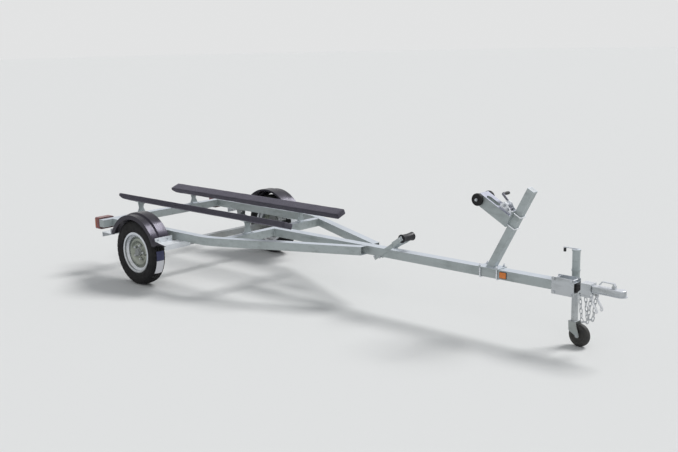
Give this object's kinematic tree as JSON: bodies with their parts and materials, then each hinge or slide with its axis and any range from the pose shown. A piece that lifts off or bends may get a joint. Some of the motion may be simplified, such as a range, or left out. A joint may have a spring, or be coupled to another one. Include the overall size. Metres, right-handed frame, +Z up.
{
  "type": "boat trailer",
  "caption": "Galvanised single-axle boat trailer with carpeted bunks, keel roller, winch post, ball coupler and a swing-up wheeled jack.",
  "frame": {"origin": "middle of the bounding box, on the ground under the tyres", "axes": "+X forward to the coupler, +Y to the trailer's left, +Z up"},
  "size_m": [4.79, 1.648, 1.0257],
  "materials": {
    "galvanised": "hot-dip galvanised",
    "zinc_plate": "zinc plated",
    "tyre": "matt black",
    "rim_paint": "silver",
    "fender_black": "gloss black",
    "carpet": "charcoal carpet",
    "lamp_red": "dark red lens",
    "reflector_amber": "amber",
    "black_rubber": "black",
    "caster_black": "dark"
  },
  "bodies": {
    "trailer": {"tongue_tube": "galvanised", "coupler_neck": "galvanised", "rail_left": "galvanised", "rail_right": "galvanised", "front_cross_member": "galvanised", "rear_cross_member": "galvanised", "axle": "galvanised", "spring_left": "galvanised", "spring_right": "galvanised", "spring_hangers_left": "galvanised", "spring_hangers_right": "galvanised", "axle_clamp_left": "galvanised", "axle_clamp_right": "galvanised", "fender_left": "fender_black", "fender_right": "fender_black", "fender_arms_left": "galvanised", "fender_arms_right": "galvanised", "bunk_left": "carpet", "bunk_right": "carpet", "bunk_bracket_rear_left": "galvanised", "bunk_bracket_rear_right": "galvanised", "bunk_bracket_front_left": "galvanised", "bunk_bracket_front_right": "galvanised", "tail_lamp_left": "lamp_red", "tail_lamp_right": "lamp_red", "side_reflectors": "reflector_amber", "keel_bracket": "galvanised", "winch_post": "galvanised", "post_u_bolts": "zinc_plate", "bow_arm": "galvanised", "bow_bolt": "zinc_plate", "winch_frame": "zinc_plate", "winch_drum": "zinc_plate", "winch_crank": "zinc_plate", "coupler": "zinc_plate", "coupler_latch": "zinc_plate", "safety_chain_left": "zinc_plate", "safety_chain_right": "zinc_plate", "jack_mount": "zinc_plate"},
    "wheel_left": {"tyre_left": "tyre", "rim_left": "rim_paint", "hub_left": "zinc_plate"},
    "wheel_right": {"tyre_right": "tyre", "rim_right": "rim_paint", "hub_right": "zinc_plate"},
    "keel_roller": {"keel_roller": "black_rubber"},
    "bow_wheels": {"bow_wheels": "black_rubber"},
    "jack": {"jack_tube": "galvanised", "jack_crank": "zinc_plate"},
    "jack_leg": {"jack_leg": "zinc_plate"},
    "caster_fork": {"jack_fork": "galvanised"},
    "caster_wheel": {"jack_wheel": "caster_black"}
  },
  "joints": [
    {"name": "wheel_left_spin", "type": "hinge", "parent": "trailer", "child": "wheel_left", "pos_m": [-1.535, 0.744, 0.268], "axis": [0, 1, 0], "continuous": true},
    {"name": "wheel_right_spin", "type": "hinge", "parent": "trailer", "child": "wheel_right", "pos_m": [-1.535, -0.744, 0.268], "axis": [0, 1, 0], "continuous": true},
    {"name": "keel_roller_spin", "type": "hinge", "parent": "trailer", "child": "keel_roller", "pos_m": [0.673, 0, 0.558], "axis": [0, 1, 0], "continuous": true},
    {"name": "bow_wheels_spin", "type": "hinge", "parent": "trailer", "child": "bow_wheels", "pos_m": [1.33334, 0, 0.91681], "axis": [0, 1, 0], "continuous": true},
    {"name": "jack_swing", "type": "hinge", "parent": "trailer", "child": "jack", "pos_m": [1.975, 0.055, 0.42325], "axis": [0, 1, 0], "range_deg": [0, 90]},
    {"name": "jack_slide", "type": "slide", "parent": "jack", "child": "jack_leg", "axis": [0, 0, -1], "range_m": [-0.12, 0.06]},
    {"name": "caster_swivel", "type": "hinge", "parent": "jack_leg", "child": "caster_fork", "pos_m": [1.975, 0.119, 0.17], "axis": [0, 0, 1], "continuous": true},
    {"name": "caster_spin", "type": "hinge", "parent": "caster_fork", "child": "caster_wheel", "pos_m": [2.01677, 0.11461, 0.076], "axis": [0.1045, 0.9945, 0], "continuous": true}
  ]
}
